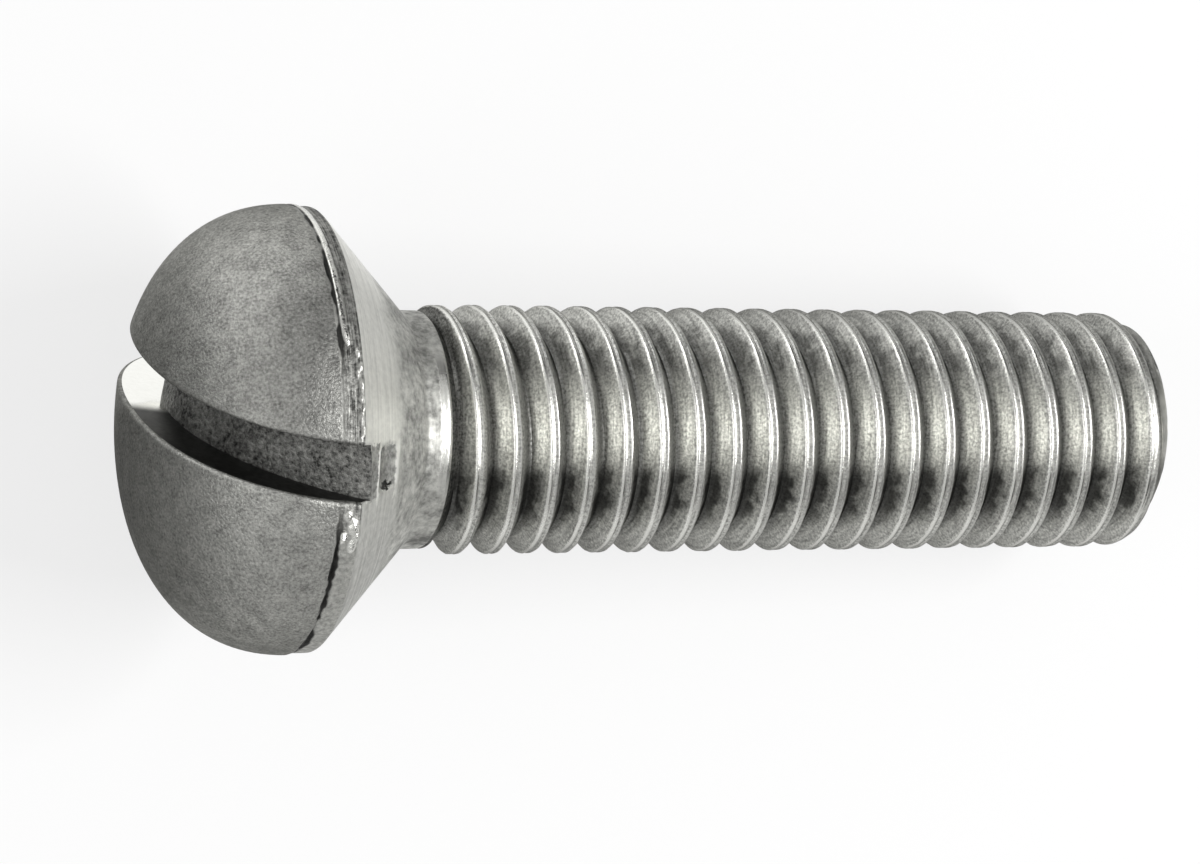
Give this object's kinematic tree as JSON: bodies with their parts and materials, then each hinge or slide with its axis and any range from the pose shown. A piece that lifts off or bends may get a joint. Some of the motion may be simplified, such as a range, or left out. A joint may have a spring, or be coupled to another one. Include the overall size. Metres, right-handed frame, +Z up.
{
  "type": "machine screw",
  "caption": "Slotted machine screw with a high domed countersunk head and a coarse metric thread up to the neck, in stainless steel.",
  "frame": {"origin": "on the surface that the screw lies on, under the middle of its box", "axes": "+Z up; +X from the head to the tip, with the screw's own axis dipping 6.4 degrees below +X; the slot is turned 19.3 degrees from upright"},
  "size_m": [0.035, 0.0142, 0.0142],
  "materials": {
    "steel": "grainy matte head, drawn bright thread"
  },
  "bodies": {
    "root": {"screw": "steel"}
  },
  "joints": []
}
